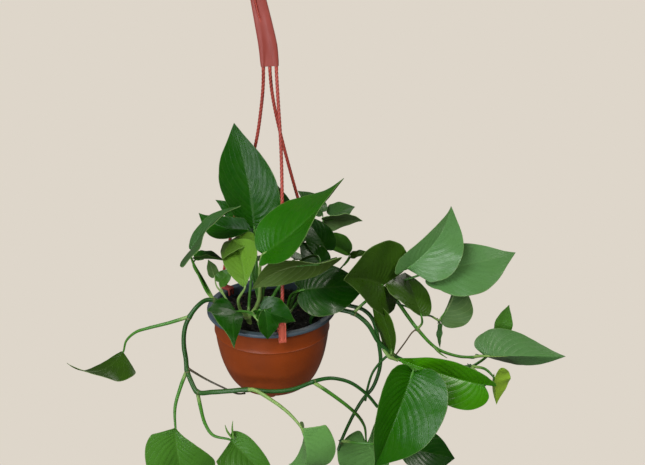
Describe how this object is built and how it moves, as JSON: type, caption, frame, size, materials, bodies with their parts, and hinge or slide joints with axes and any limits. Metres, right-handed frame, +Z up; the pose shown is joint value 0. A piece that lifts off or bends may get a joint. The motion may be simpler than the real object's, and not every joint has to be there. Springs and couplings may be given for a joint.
{
  "type": "potted hanging pothos",
  "caption": "Trailing pothos in a round terracotta-coloured plastic pot with soil, hung by a three-strand plastic hanger with a hook.",
  "frame": {"origin": "the flat saddle at the inner top of the hook's crook, where the object hangs", "axes": "+Z up along the hanger, +X to the right in the picture's view, +Y away from the viewer"},
  "size_m": [0.5554, 0.2459, 0.6721],
  "materials": {
    "pot_plastic": "matte moulded plastic",
    "potting_soil": "loose crumbly soil with pale specks",
    "hanger_plastic": "satin moulded plastic",
    "foliage": "waxy living leaves and stems"
  },
  "bodies": {
    "root": {"pot": "pot_plastic", "soil": "potting_soil", "hanger_hook": "hanger_plastic", "hanger_strand_front": "hanger_plastic", "hanger_strand_right": "hanger_plastic", "hanger_strand_left": "hanger_plastic", "stem_crown_back": "foliage", "stem_crown_front": "foliage", "stem_crown_low": "foliage", "stem_side_shoot": "foliage", "stem_dark_right": "foliage", "stem_back_right": "foliage", "stem_back_crown": "foliage", "vine_left": "foliage", "vine_right_front": "foliage", "vine_right_middle": "foliage", "vine_right_back": "foliage", "vine_back": "foliage"}
  },
  "joints": []
}
